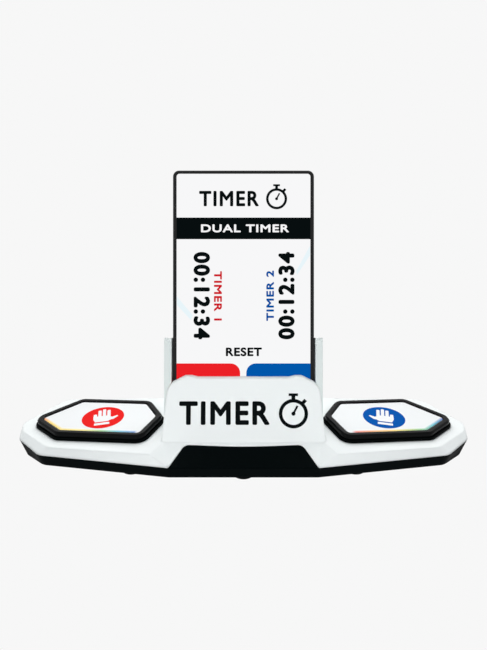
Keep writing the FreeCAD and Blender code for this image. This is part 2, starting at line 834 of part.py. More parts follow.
def upper_case():
    outer = loft("upper_outer",
                 outline("seam_outer", seam, 0, outer_radii, shifted(0, 0, d.seam_height)),
                 outline("rim_outer", rim, 0, outer_radii, shifted(0, 0, d.loft_height)))
    decks = cut("upper_decks", outer, above_deck("deck_top", lifted(0)), front_slope())
    tower = tower_solid("tower", lifted(0), d.deck_height - d.wall, -d.tower_back)
    room = loft("upper_inner",
                outline("seam_inner", seam, -d.wall, inner_radii, shifted(0, 0, d.seam_height)),
                outline("rim_inner", rim, -d.wall, inner_radii, shifted(0, 0, d.loft_height)))
    nose_half = nose_x + d.nose_block_out
    nose = box("nose_block", (-nose_half, nose_half), (-d.nose_y - CLEAR, -d.tower_foot_y + d.tower_wall),
               (0, d.deck_height + CLEAR))
    cavity = cut("upper_cavity", room, above_deck("deck_under", d.wall), nose)
    inside = tower_solid("tower_room", d.tower_wall, d.seam_height - PAST, lifted(PAST))
    panel = slab("panel_cut", panel_plan, d.seam_height - PAST, d.loft_height + CLEAR, d.panel_gap,
                 panel_radii(d.panel_gap))
    opening_half = channel_half + d.rest_opening_gap
    opening = box("channel_opening", (-opening_half, opening_half),
                  (lean_y(-d.tower_back, d.deck_height - d.wall),
                   lean_y(channel_back, d.deck_height) + d.rest_opening_gap),
                  (d.deck_height - d.wall - PAST, d.deck_height))
    wells = [put(pad_slab("well", side, -d.wall * 2, d.wall * 2, collar_grow), pad_frame(side))
             for side in SIDES]
    hollow = cut("upper_hollow", fuse("upper_solid", decks, tower), cavity, inside, panel, opening, *wells)
    grown = [hollow]
    holes = []
    for x, y in CASE_SCREWS:
        grown.append(cylinder("upper_boss", d.boss_radius, x, y, d.seam_height, d.case_boss_top))
        holes.append(cylinder("upper_pilot", d.screw_radius + d.screw_gap, x, y, d.seam_height - PAST,
                              d.case_screw_top + d.screw_gap))
    for x, y in REST_SCREWS:
        grown.append(cylinder("rest_boss", d.boss_radius, x, y, d.rest_screw_low - d.boss_roof,
                              d.deck_height - d.wall / 2))
        holes.append(cylinder("rest_pilot", d.screw_radius + d.screw_gap, x, y,
                              d.rest_screw_low - d.screw_gap, d.deck_height + PAST))
    for side in SIDES:
        frame = leaning * shifted(bracket_screw_x * side, -d.bracket_forward, bracket_middle) * \
            turned("x", 90)
        grown.append(cylinder("bracket_post", d.bracket_post_radius, 0, 0, lifted(0), d.bracket_boss, frame))
        holes.append(cylinder("bracket_pilot", d.bracket_screw_radius + d.screw_gap, 0, 0, lifted(-PAST),
                              d.bracket_boss - d.bracket_boss_roof, frame))
    piece(cut("upper_shell", fuse("upper_body", *grown), *holes), "upper_case")


bracket_middle = d.bracket_low + d.bracket_height / 2


def lower_case():
    outer = loft("lower_outer",
                 outline("foot_outer", foot_line, 0, outer_radii, shifted(0, 0, d.foot_height)),
                 outline("seam_lower", seam, 0, outer_radii, shifted(0, 0, d.seam_height)))
    room = loft("lower_inner",
                outline("floor_inner", foot_line, -d.wall, inner_radii, shifted(0, 0, floor_top)),
                outline("seam_lower_inner", seam, -d.wall, inner_radii, shifted(0, 0, d.seam_height)))
    low = d.seam_height - d.panel_root
    plan = slab("panel_plan", panel_plan, low, d.loft_height, 0, panel_radii())
    side = along_side("panel_side", [
        (-d.nose_y + d.panel_root_in, low),
        (panel_rear_y, low),
        (panel_rear_y, slope_height(panel_rear_y)),
        (-d.nose_y, d.seam_height),
    ])
    under_y = -d.nose_y + d.panel_lip
    rear_y = panel_rear_y - d.wall
    room_side = along_side("panel_room_side", [
        (under_y, floor_top),
        (rear_y, floor_top),
        (rear_y, slope_height(rear_y) - d.wall),
        (under_y, slope_height(under_y) - d.wall),
    ])
    room_plan = slab("panel_room_plan", panel_plan, floor_top, d.loft_height, -d.wall)
    grown = [outer, common("panel_solid", plan, side)]
    shell = cut("lower_hollow", fuse("lower_solid", *grown), room,
                common("panel_room", room_side, room_plan))
    grown = [shell]
    holes = []
    for x, y in CASE_SCREWS:
        grown.append(cylinder("lower_boss", d.boss_radius, x, y, floor_top - PAST, d.seam_height))
        holes.append(cylinder("screw_way", d.screw_radius + d.screw_clear, x, y, 0, d.seam_height + PAST))
        holes.append(cylinder("screw_recess", d.screw_head_radius + d.screw_clear, x, y, 0,
                              d.case_head_low + d.screw_head))
    for x, y in FEET:
        holes.append(cylinder("foot_seat", d.foot_radius + d.screw_gap, x, y, 0,
                              d.foot_height + d.foot_recess))
    for side in SIDES:
        frame = pad_frame(side)
        for way in SIDES:
            x = d.post_spread * way
            grown.append(cylinder("sleeve", d.post_radius + d.sleeve_gap + d.sleeve_wall, x, 0,
                                  pad_floor - PAST, pad_floor + d.sleeve_height, frame))
            holes.append(cylinder("sleeve_bore", d.post_radius + d.sleeve_gap, x, 0,
                                  pad_floor, pad_floor + d.sleeve_height + PAST, frame))
        grown.append(cylinder("plate_boss", d.plate_radius - d.plate_over, 0, 0, pad_floor - PAST,
                              pad_floor + d.plate_boss, frame))
        grown.append(spring_seat(side, frame))
    piece(cut("lower_shell", fuse("lower_body", *grown), *holes), "lower_case")


def spring_seat(side, frame):
    """A low ring on the floor under a pad's spring, with a gap for the lead wire."""
    ring = cylinder("seat_ring", d.spring_radius + d.spring_seat_wall / 2, 0, 0, lifted(-PAST),
                    d.spring_seat)
    bore = cylinder("seat_bore", d.spring_radius - d.spring_seat_wall / 2, 0, 0, lifted(-CLEAR),
                    d.spring_seat + PAST)
    notch = box("seat_notch", (-d.wire_notch / 2, d.wire_notch / 2), (-d.spring_radius * 2, 0),
                (0, d.spring_seat + PAST))
    return put(cut("spring_seat", ring, bore, notch), frame * shifted(0, 0, pad_floor))


# Channel behind the tower

def phone_rest():
    """The channel for the display, with the foot and the two ribs that hold it up behind."""
    side = channel_half
    inner = d.display_width / 2 + d.slot_gap
    low = channel_low
    walls = box("channel_block", (-side, side), (-d.slot_front, channel_back), (low, d.rest_height), leaning)
    room = box("channel_room", (-inner, inner), (-d.slot_gap, d.display_depth + d.rest_back_gap),
               (low + d.rest_shelf, d.rest_height + CLEAR), leaning)
    front = box("channel_front", (-inner, inner), (-d.slot_front - PAST, 0),
                (d.rest_lip, d.rest_height + CLEAR), leaning)
    notch_half = d.rest_notch - d.rest_notch_deep
    notch_low = d.rest_height - d.rest_notch_deep
    crown = prism("channel_crown", outline("crown_line", mirrored([
        (notch_half, notch_low),
        (d.rest_notch, d.rest_height),
        (inner, d.rest_height),
        (side - d.slot_wall / 2, d.rest_height - d.rest_dip),
        (side, d.rest_height),
        (side + PAST, d.rest_height + PAST),
        (side + PAST, d.rest_height + CLEAR),
    ]), frame=FACING_FRONT), ALONG_Y, channel_back + PAST, d.slot_front + PAST)
    put(crown, leaning)
    channel = cut("channel", walls, room, front, crown)
    foot_half = d.foot_plate_width / 2
    rear_y = lean_y(channel_back, d.deck_height)
    plate = box("foot_plate_body", (-foot_half, foot_half), (rear_y - PAST, rear_y + d.foot_plate_depth),
                (d.deck_height, d.deck_height + d.foot_plate))
    ribs = []
    for way in SIDES:
        base = d.deck_height + d.foot_plate / 2
        top = d.deck_height + d.rib_height
        points = [
            (lean_y(channel_back - PAST, base), base),
            (rear_y + d.foot_plate_depth, base),
            (rear_y + d.foot_plate_depth, base + d.foot_plate / 2),
            (lean_y(channel_back, top), top),
            (lean_y(channel_back - PAST, top), top),
        ]
        sketch = outline("rib_line", points, frame=shifted(d.rib_spacing / 2 * way, 0, 0) * FACING_SIDE)
        ribs.append(prism("rib", sketch, ALONG_X, d.rib_thick / 2, d.rib_thick / 2))
    holes = [cylinder("rest_hole", d.screw_radius + d.screw_gap, x, y, d.deck_height - PAST,
                      d.deck_height + d.foot_plate + PAST) for x, y in REST_SCREWS]
    piece(cut("rest_shell", fuse("rest_body", channel, plate, *ribs), *holes), "phone_rest")


def slot_cushion():
    strip = box("cushion_strip", (0, d.display_width), (0, d.display_depth), (0, d.cushion_depth))
    piece(strip, "slot_cushion", leaning * shifted(-half, 0, -d.cushion_gap - d.cushion_depth))


# Display, upright in its own frame

def display_slab(name, inset, front, back, inner_radius):
    """A rounded sheet of the display's outline between two depths."""
    out = half - inset
    points = rectangle(-out, inset, out, d.display_length - inset)
    sketch = outline(name + "_line", points, 0, inner_radius, FACING_FRONT)
    return prism(name, sketch, ALONG_Y, back, -lifted(front))


def display():
    rim_in = d.display_rim
    glass_radius = d.display_radius - rim_in
    frame = display_slab("frame_block", lifted(0), 0, d.display_depth, d.display_radius)
    sheet_in = rim_in + d.sheet_gap
    panel_in = d.shell_wall + d.sheet_gap
    back_front = d.display_depth - d.back_depth
    room = display_slab("frame_room", rim_in, -PAST, d.display_depth + PAST, glass_radius)
    shelf = display_slab("frame_shelf", rim_in, d.glass_depth, back_front, glass_radius)
    core = display_slab("frame_core", d.shell_wall, d.glass_depth - PAST, d.display_depth, d.core_radius)
    piece(fuse("frame_ring", cut("frame_hollow", frame, room), cut("frame_inner", shelf, core)),
          "phone_frame", leaning)
    piece(display_slab("glass_sheet", sheet_in, 0, d.glass_depth, glass_radius), "phone_glass", leaning)
    piece(display_slab("display_sheet", panel_in, d.glass_depth, d.glass_depth + d.panel_depth,
                       d.core_radius), "phone_display", leaning)
    piece(display_slab("back_sheet", sheet_in, back_front, d.display_depth, glass_radius), "phone_back",
          leaning)
    high = d.display_length - d.camera_in
    edge = half - d.camera_in
    points = rectangle(edge - d.camera_width, high - d.camera_height, edge, high)
    line = outline("camera_line", points, 0, d.camera_radius, FACING_FRONT)
    island = prism("camera_island", line, ALONG_Y, d.display_depth + d.camera_depth, -d.display_depth)
    piece(island, "phone_camera", leaning)


# Contacts and lead wires

def contact_bracket():
    plate_half = half - d.bracket_in
    back = -d.bracket_forward + d.bracket_depth
    plate = box("bracket_plate", (-plate_half, plate_half), (-d.bracket_forward, back),
                (d.bracket_low, d.bracket_low + d.bracket_height))
    holes = []
    for side in SIDES:
        frame = shifted(bracket_screw_x * side, -d.bracket_forward, bracket_middle) * turned("x", -90)
        holes.append(cylinder("bracket_hole", d.bracket_screw_radius + d.screw_gap, 0, 0, lifted(-PAST),
                              d.bracket_depth + PAST, frame))
    piece(cut("bracket", plate, *holes), "contact_bracket", leaning)
    for side in SIDES:
        pad = box("contact", (0, d.contact_width), (0, d.contact_depth), (0, d.contact_height))
        piece(pad, side_name("contact_pad", side),
              leaning * shifted(contact_x * side - d.contact_width / 2, back, d.contact_low))


def display_point(x, depth, height):
    """A point of the display's frame, in millimetres of the assembly."""
    return leaning.placement.multVec(V(lifted(x).value, lifted(depth).value, lifted(height).value))


def lead_wire(side):
    """A wire from the touch plate through the housing and up the tower to the contacts."""
    start = pad_frame(side).placement
    plate_mid = (pad_floor + d.plate_boss + d.plate_depth / 2).value
    wire = lifted(d.lead_radius).value
    low = floor_top.value + wire + 0.2
    first = start.multVec(V(0, -SIZES["plate_radius"] - 0.02, plate_mid))
    first.z = low
    second = start.multVec(V(0, -SIZES["plate_radius"] - 8.0, plate_mid))
    second.z = low
    points = [first, second]
    for x, y, z in ((68.0, -21.8, low), (55.0, -22.1, low), (40.0, -22.2, 5.1), (26.5, -22.2, 8.0),
                    (18.6, -21.3, 12.4)):
        points.append(V(side * x, y, z))
    points.append(display_point(contact_x * side, -d.lead_forward, d.bracket_low - d.lead_end_gap))
    route = doc.addObject("Part::Feature", side_name("lead_route", side))
    edges, length = routed(points)
    route.Shape = Part.Wire(edges)
    circle = doc.addObject("Part::Circle", side_name("lead_section", side))
    bind(circle, "Radius", d.lead_radius)
    toward = (points[1] - points[0]).normalize()
    circle.Placement = FreeCAD.Placement(points[0], FreeCAD.Rotation(UP, toward))
    sweep = doc.addObject("Part::Sweep", side_name("lead", side))
    sweep.Sections = [circle]
    sweep.Spine = (route, [])
    sweep.Solid = True
    sweep.Frenet = False
    sweep.Label = side_name("lead_wire", side)
    pieces.append(sweep)
    leads.append((sweep, length))


leads = []


def routed(points):
    """Straight runs joined by tangent arcs through the points, and the total length."""
    edges = []
    at = points[0]
    for i in range(1, len(points) - 1):
        before, corner, after = points[i - 1], points[i], points[i + 1]
        u = (before - corner).normalize()
        v = (after - corner).normalize()
        turn = math.pi - u.getAngle(v)
        short = min((before - corner).Length, (after - corner).Length)
        cut_back = 0.45 * short
        radius = cut_back / math.tan(turn / 2)
        first = corner + u * cut_back
        last = corner + v * cut_back
        middle_way = (u + v).normalize()
        centre = corner + middle_way * (radius / math.cos(turn / 2))
        middle = centre - middle_way * radius
        edges.append(Part.LineSegment(at, first).toShape())
        edges.append(Part.Arc(first, middle, last).toShape())
        at = last
        print("lead corner", i, "radius %.2f turn %.1f" % (radius, math.degrees(turn)))
    edges.append(Part.LineSegment(at, points[-1]).toShape())
    return edges, sum(edge.Length for edge in edges)


# Fasteners and feet

def screw(head_radius, head, shank_radius, shank):
    """A pan-head screw, its head's underside at the origin and its shank downwards."""
    top = cylinder("screw_head", head_radius, 0, 0, lifted(0), head)
    body = cylinder("screw_shank", shank_radius, 0, 0, -shank, head / 2)
    return fuse("screw", top, body)


def group(name, label, parts):
    feature = doc.addObject("Part::Compound", name)
    feature.Links = parts
    piece(feature, label)


def fasteners():
    screws = []
    for x, y in CASE_SCREWS:
        one = screw(d.screw_head_radius, d.screw_head, d.screw_radius, d.case_screw_top - d.case_head_top)
        screws.append(put(one, shifted(x, y, d.case_head_top) * turned("x", 180)))
    group("case_screw_group", "case_screws", screws)
    screws = []
    for x, y in REST_SCREWS:
        one = screw(d.screw_head_radius, d.screw_head, d.screw_radius,
                    d.deck_height + d.foot_plate - d.rest_screw_low)
        screws.append(put(one, shifted(x, y, d.deck_height + d.foot_plate)))
    group("rest_screw_group", "rest_screws", screws)
    screws = []
    for side in SIDES:
        one = screw(d.bracket_screw_head_radius, d.bracket_screw_head, d.bracket_screw_radius,
                    d.bracket_depth + d.bracket_boss - d.bracket_boss_roof - d.screw_end_gap)
        frame = leaning * shifted(bracket_screw_x * side, -d.bracket_forward + d.bracket_depth,
                                  bracket_middle) * turned("x", -90)
        screws.append(put(one, frame))
    group("bracket_screw_group", "bracket_screws", screws)
    feet = [cylinder("foot", d.foot_radius, x, y, 0, d.foot_height + d.foot_recess) for x, y in FEET]
    group("foot_group", "rubber_feet", feet)


upper_case()
lower_case()
phone_rest()
slot_cushion()
display()
contact_bracket()
for side in SIDES:
    pad_insert(side)
    pad_bezel(side)
    pad_collar(side)
    pad_carrier(side)
    pad_spring(side)
    touch_plate(side)
    lead_wire(side)
fasteners()

doc.recompute()
for item in doc.Objects:
    if "Invalid" in item.State or "Error" in item.State:
        raise RuntimeError("%s (%s) did not compute: %s" % (item.Name, item.Label, item.State))
for feature in pieces:
    shape = feature.Shape
    if shape.isNull() or not shape.isValid():
        raise RuntimeError("%s has no valid shape" % feature.Label)
    print(feature.Label, len(shape.Solids), "%.0f mm3" % shape.Volume)
for feature, length in leads:
    print(feature.Label, "%.1f mm long, volume over section x length %.3f" % (
        length, feature.Shape.Volume / (math.pi * SIZES["lead_radius"] ** 2 * length)))

os.makedirs("parts", exist_ok=True)
for feature in pieces:
    feature.Shape.exportStep("parts/%s.step" % feature.Label)
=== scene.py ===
import math

import bpy
from mathutils import Matrix, Vector


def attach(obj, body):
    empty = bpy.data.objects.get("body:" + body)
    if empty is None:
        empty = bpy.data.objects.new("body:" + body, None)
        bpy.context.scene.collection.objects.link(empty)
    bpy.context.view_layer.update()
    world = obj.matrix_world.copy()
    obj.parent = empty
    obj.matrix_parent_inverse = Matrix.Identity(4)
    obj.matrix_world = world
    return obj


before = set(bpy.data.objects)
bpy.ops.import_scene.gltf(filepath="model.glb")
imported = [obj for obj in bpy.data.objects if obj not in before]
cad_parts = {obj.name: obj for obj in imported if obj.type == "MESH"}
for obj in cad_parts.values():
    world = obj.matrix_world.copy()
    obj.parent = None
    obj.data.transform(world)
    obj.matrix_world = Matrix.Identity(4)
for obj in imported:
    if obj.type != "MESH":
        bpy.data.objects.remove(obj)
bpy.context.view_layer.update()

MM = 0.001

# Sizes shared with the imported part, in millimetres and degrees

LEAN = 21.0
DISPLAY_ORIGIN = (0.0, -18.28, 10.4)
DECK_SLOPE = 0.024
DECK_HEIGHT = 13.4
TOWER_BASE = 42.8
TOWER_FOOT_Y, TOWER_TOP_Y, TOWER_HEIGHT = -25.2, -10.9, 43.6
PAD_X, PAD_Y, PAD_YAW, PAD_RISE = 77.2, -5.2, 6.0, 3.5

# Rise of each layer of print, and of each copy of a letter over the last, in millimetres

PRINT_LIFT = 0.04
HAIR = 0.003

# Steps of a rounded corner, of a circle and round a widened stroke

CORNER_STEPS = 8
CIRCLE_STEPS = 64
STROKE_STEPS = 8

# Stopwatch sign, in shares of its rim's outer radius

RIM_INSIDE = 0.76
HUB_RADIUS, HUB_STEPS = 0.14, 24

# Pattern of a surface: fine grain for roughness and height, wide clouds for shade

GRAIN_SCALE, GRAIN_DETAIL, GRAIN_HEIGHT = 900.0, 4.0, 0.2
CLOUD_SCALE, CLOUD_DETAIL, CLOUD_TINT = 22.0, 2.0, 0.03
EDGE_SAMPLES = 8


# Materials

def linear(red, green, blue):
    """The scene-linear colour of a display colour given from 0 to 255."""
    def one(value):
        value = value / 255
        return value / 12.92 if value <= 0.04045 else ((value + 0.055) / 1.055) ** 2.4
    return (one(red), one(green), one(blue), 1.0)


def set_inputs(node, values):
    for name, value in values.items():
        node.inputs[name].default_value = value


def add_node(tree, kind, values=None, **settings):
    """A new node with its settings and the values of its inputs."""
    node = tree.nodes.new(kind)
    for name, value in settings.items():
        setattr(node, name, value)
    set_inputs(node, values or {})
    return node


def new_material(name):
    """A material, its node tree and its shader."""
    material = bpy.data.materials.new(name)
    material.use_nodes = True
    tree = material.node_tree
    return material, tree, tree.nodes["Principled BSDF"]


def pattern(tree, scale, detail):
    """The strength of a noise that is fixed to the object."""
    place = add_node(tree, "ShaderNodeTexCoord")
    noise = add_node(tree, "ShaderNodeTexNoise", {"Scale": scale, "Detail": detail})
    tree.links.new(place.outputs["Object"], noise.inputs["Vector"])
    return noise.outputs["Fac"]


def surface(name, colour, roughness, metallic=0.0, grain=GRAIN_SCALE, bump=0.02, spread=0.06,
            specular=0.5, soft=0.0):
    """A surface with fine grain: its roughness, shade and height vary a little.

    spread is how far the roughness varies to both sides, bump is the strength of the relief, and soft is
    the radius in millimetres over which light rounds off the edges.
    """
    material, tree, shader = new_material(name)
    set_inputs(shader, {"Metallic": metallic, "Specular IOR Level": specular})
    fine = pattern(tree, grain, GRAIN_DETAIL)
    rough = add_node(tree, "ShaderNodeMapRange", {
        "To Min": max(0.0, roughness - spread),
        "To Max": min(1.0, roughness + spread),
    })
    tree.links.new(fine, rough.inputs["Value"])
    tree.links.new(rough.outputs["Result"], shader.inputs["Roughness"])
    shade = add_node(tree, "ShaderNodeMix", {
        "A": colour,
        "B": tuple(part * (1 - CLOUD_TINT) for part in colour[:3]) + (1.0,),
    }, data_type="RGBA")
    tree.links.new(pattern(tree, CLOUD_SCALE, CLOUD_DETAIL), shade.inputs["Factor"])
    tree.links.new(shade.outputs["Result"], shader.inputs["Base Color"])
    relief = add_node(tree, "ShaderNodeBump", {"Strength": bump, "Distance": GRAIN_HEIGHT * MM})
    tree.links.new(fine, relief.inputs["Height"])
    if soft:
        edge = add_node(tree, "ShaderNodeBevel", {"Radius": soft * MM}, samples=EDGE_SAMPLES)
        tree.links.new(edge.outputs["Normal"], relief.inputs["Normal"])
    tree.links.new(relief.outputs["Normal"], shader.inputs["Normal"])
    return material


def ink(name, colour):
    """A matt print, which hardly reflects."""
    return surface(name, colour, 0.5, bump=0.01, spread=0.04, specular=0.01)


def lit(name, colour):
    """A part of the display's picture, which shines by itself."""
    material, _, shader = new_material(name)
    set_inputs(shader, {
        "Base Color": (0, 0, 0, 1),
        "Specular IOR Level": 0.0,
        "Roughness": 0.4,
        "Emission Color": colour,
        "Emission Strength": 1.0,
    })
    return material


PLAIN = linear(242, 243, 243)
WHITE = surface("white_shell", linear(249, 252, 251), 0.4, bump=0.015, specular=0.15, soft=1.6)
INSERT = surface("white_insert", PLAIN, 0.45, bump=0.015, specular=0.1)
BLACK = surface("black_shell", linear(3, 8, 9), 0.45, bump=0.05, specular=0.015, soft=1.2)
COLLAR = surface("collar_black", linear(4, 7, 7), 0.45, bump=0.03, specular=0.02)
BEZEL = surface("bezel_black", linear(6, 7, 8), 0.22, bump=0.01, spread=0.04, specular=0.07, soft=0.5)
# The rest is white plastic; its darker, greyer colour here is painted shade.
REST = surface("rest_grey", linear(229, 236, 234), 0.45, bump=0.03, specular=0.3, soft=0.6)
CARRIER = surface("carrier_grey", linear(90, 92, 95), 0.55, bump=0.06)
RUBBER = surface("rubber", linear(14, 15, 16), 0.85, bump=0.2, grain=1600.0, specular=0.02)
FOAM = surface("contact_foam", linear(34, 34, 36), 0.9, bump=0.4, grain=2400.0, specular=0.1)
STEEL = surface("steel", linear(190, 192, 195), 0.3, metallic=1.0, bump=0.03)
BRASS = surface("brass", linear(212, 180, 110), 0.28, metallic=1.0, bump=0.03)
JACKET = surface("wire_jacket", linear(170, 32, 30), 0.5, bump=0.05)
FRAME = surface("device_frame", linear(12, 13, 15), 0.3, soft=1.0)
GLASS = surface("device_glass", linear(5, 6, 7), 0.1, bump=0.0, spread=0.02, specular=0.25)
BACK = surface("device_back", linear(30, 31, 34), 0.35, bump=0.03)
PANEL = surface("device_panel", linear(40, 42, 45), 0.5)

FINISHES = {
    "upper_case": WHITE,
    "phone_rest": REST,
    "pad_insert": INSERT,
    "lower_case": BLACK,
    "pad_collar": COLLAR,
    "pad_bezel": BEZEL,
    "pad_carrier": CARRIER,
    "pad_spring": STEEL,
    "touch_plate": BRASS,
    "lead_wire": JACKET,
    "contact_pad": FOAM,
    "contact_bracket": CARRIER,
    "slot_cushion": RUBBER,
    "rubber_feet": RUBBER,
    "case_screws": STEEL,
    "rest_screws": STEEL,
    "bracket_screws": STEEL,
    "phone_frame": FRAME,
    "phone_glass": GLASS,
    "phone_display": PANEL,
    "phone_back": BACK,
    "phone_camera": GLASS,
}
for node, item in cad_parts.items():
    finish = FINISHES[node.replace("_left", "").replace("_right", "")]
    item.data.materials.clear()
    item.data.materials.append(finish)


# Planes of the prints: the screen, the tower's face and the top of each pad, in millimetres

SCREEN = (Matrix.Translation(DISPLAY_ORIGIN)
          @ Matrix.Rotation(math.radians(-LEAN), 4, "X")
          @ Matrix.Rotation(math.radians(90), 4, "X"))
FACE_ANGLE = math.degrees(math.atan2(TOWER_TOP_Y - TOWER_FOOT_Y, TOWER_HEIGHT - DECK_HEIGHT))
FACE = (Matrix.Translation((0, TOWER_FOOT_Y, DECK_HEIGHT))
        @ Matrix.Rotation(math.radians(90 - FACE_ANGLE), 4, "X"))


def pad_plane(side):
    deck = DECK_HEIGHT - DECK_SLOPE * (PAD_X - TOWER_BASE)
    return (Matrix.Translation((side * PAD_X, PAD_Y, deck))
            @ Matrix.Rotation(side * math.atan(DECK_SLOPE), 4, "Y")
            @ Matrix.Rotation(side * math.radians(PAD_YAW), 4, "Z")
            @ Matrix.Translation((0, 0, PAD_RISE)))


# Outlines, as lists of points on a plane

def rectangle(x0, y0, x1, y1, radii=(0, 0, 0, 0)):
    """Corner points of a rectangle, from low left round to high left, each corner rounded."""
    corners = ((x0, y0, 1, 1, 180), (x1, y0, -1, 1, 270), (x1, y1, -1, -1, 0), (x0, y1, 1, -1, 90))
    points = []
    for (x, y, inward_x, inward_y, start), radius in zip(corners, radii):
        if radius == 0:
            points.append((x, y))
            continue
        for step in range(CORNER_STEPS + 1):
            angle = math.radians(start + 90 * step / CORNER_STEPS)
            points.append((
                x + inward_x * radius + radius * math.cos(angle),
                y + inward_y * radius + radius * math.sin(angle),
            ))
    return points


def disc(x, y, radius, steps=CIRCLE_STEPS):
    angles = [2 * math.pi * i / steps for i in range(steps)]
    return [(x + radius * math.cos(angle), y + radius * math.sin(angle)) for angle in angles]


def ring(x, y, outer, inner):
    """Quads of a flat ring."""
    quads = []
    big, small = disc(x, y, outer), disc(x, y, inner)
    for i in range(CIRCLE_STEPS):
        after = (i + 1) % CIRCLE_STEPS
        quads.append([small[i], big[i], big[after], small[after]])
    return quads


def turned(points, angle, about=(0, 0)):
    """Points turned round a centre by an angle in degrees."""
    cosine, sine = math.cos(math.radians(angle)), math.sin(math.radians(angle))
    offsets = [(x - about[0], y - about[1]) for x, y in points]
    return [(about[0] + cosine * x - sine * y, about[1] + sine * x + cosine * y) for x, y in offsets]


# Pieces made of flat faces

def placed(name, points, faces, material):
    """A mesh in the scene, from points in metres."""
    mesh = bpy.data.meshes.new(name)
    mesh.from_pydata(points, [], faces)
    mesh.materials.append(material)
    item = bpy.data.objects.new(name, mesh)
    bpy.context.scene.collection.objects.link(item)
    return item


def flat(name, faces, plane, body, material, layer=1):
    """A print made of flat faces, each a list of points on the plane."""
    points = []
    loops = []
    for face in faces:
        loops.append(list(range(len(points), len(points) + len(face))))
        points += [(plane @ Vector((x, y, PRINT_LIFT * layer))) * MM for x, y in face]
    item = placed(name, points, loops, material)
    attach(item, body)
    return item


def lettering(words, spacing):
    """Points and faces of words in a plain upright type, scaled to run from 0 to 1 both ways."""
    curve = bpy.data.curves.new("words", "FONT")
    curve.body = words
    curve.space_character = spacing
    source = bpy.data.objects.new("words", curve)
    bpy.context.scene.collection.objects.link(source)
    shape = bpy.data.meshes.new_from_object(source.evaluated_get(bpy.context.evaluated_depsgraph_get()))
    bpy.data.objects.remove(source)
    low = [min(v.co[i] for v in shape.vertices) for i in range(2)]
    top = [max(v.co[i] for v in shape.vertices) for i in range(2)]
    points = [[(v.co[i] - low[i]) / (top[i] - low[i]) for i in range(2)] for v in shape.vertices]
    faces = [list(polygon.vertices) for polygon in shape.polygons]
    bpy.data.meshes.remove(shape)
    bpy.data.curves.remove(curve)
    return points, faces


def writing(name, words, plane, body, material, box, bold, spacing, turn=0, layer=2):
    """Words fitted to a box (x0, y0, x1, y1) on the plane, turned by 0, 90 or -90 degrees.

    bold widens each stroke to both sides: copies are laid round the letters, each a hair higher.
    """
    points, faces = lettering(words, spacing)
    x0, y0, x1, y1 = box
    wide, high = (x1 - x0, y1 - y0) if turn == 0 else (y1 - y0, x1 - x0)
    vertices = []
    loops = []
    for level, shift in enumerate(disc(0, 0, bold, STROKE_STEPS) + [(0, 0)]):
        start = len(vertices)
        lift = PRINT_LIFT * layer + HAIR * level
        letters = [
            ((u - 0.5) * (wide - 2 * bold) + shift[0], (v - 0.5) * (high - 2 * bold) + shift[1])
            for u, v in points
        ]
        for x, y in turned(letters, turn):
            vertices.append((plane @ Vector(((x0 + x1) / 2 + x, (y0 + y1) / 2 + y, lift))) * MM)
        loops += [[start + i for i in face] for face in faces]
    item = placed(name, vertices, loops, material)
    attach(item, body)


def stopwatch(x, y, size):
    """Faces of a stopwatch sign, whose sizes are shares of the radius of its rim."""
    def bar(half, low, high, turn=0):
        shape = rectangle(x - size * half, y + size * low, x + size * half, y + size * high)
        return turned(shape, turn, (x, y))
    rim = ring(x, y, size, size * RIM_INSIDE)
    stem = bar(0.13, 0.95, 1.2)
    crown = bar(0.32, 1.2, 1.38)
    side_button = bar(0.12, 0.98, 1.26, turn=-42)
    pointer = bar(0.07, -0.05, 0.6, turn=-28)
    hub = disc(x, y, size * HUB_RADIUS, HUB_STEPS)
    return rim + [stem, crown, side_button, pointer, hub]


# Picture on the display, measured from the middle of the display's lower edge

PAPER = lit("picture_white", linear(247, 247, 248))
DARK = lit("picture_black", linear(8, 14, 15))
PALE = lit("picture_pale", linear(232, 245, 250))
RED_LIT = lit("picture_red", linear(236, 32, 38))
RED_WORD = lit("picture_red_word", linear(206, 24, 36))
BLUE_WORD = lit("picture_blue_word", linear(4, 78, 158))
BLUE_LIT = lit("picture_blue", linear(0, 86, 170))

PICTURE_SIDE, PICTURE_LOW, PICTURE_TOP = 35.6, 5.0, 141.3
LOW_RADIUS, TOP_RADIUS = 2, 1.6
BAND_LOW, BAND_TOP = 106.5, 118.0
BUTTON_TOP, BUTTON_RADIUS = 40.4, 5.0
LEFT_BUTTON_END, RIGHT_BUTTON_START = -1.8, 1.5
BAND_WORDS_BOX = (-22.6, 110.1, 24.2, 114.4)
RESET_BOX = (-9.4, 44.2, 9.8, 48.9)
TITLE_BOX = (-23.6, 124.0, 8.2, 132.2)
SIGN_X, SIGN_Y, SIGN_RADIUS = 17.6, 128.0, 5.6
STREAKS = [
    [(-35.4, 76.0), (-35.4, 71.5), (-28.0, 63.5), (-27.0, 66.0)],
    [(35.4, 103.0), (35.4, 98.0), (28.5, 87.5), (28.0, 89.5)],
]

# The two times: side, number, colour of the label, turn, box of the digits and box of the label

CLOCKS = (
    ("left", "1", RED_WORD, -90, (-26.6, 53.2, -17.8, 99.7), (-15.7, 63.2, -11.5, 89.5)),
    ("right", "2", BLUE_WORD, 90, (18.5, 53.2, 27.2, 99.7), (12.1, 63.0, 16.2, 89.8)),
)


def shown(name, faces, material, layer=2):
    flat(name, faces, SCREEN, "phone", material, layer)


def shown_words(name, words, material, box, bold, spacing, turn=0, layer=2):
    writing(name, words, SCREEN, "phone", material, box, bold, spacing, turn, layer)


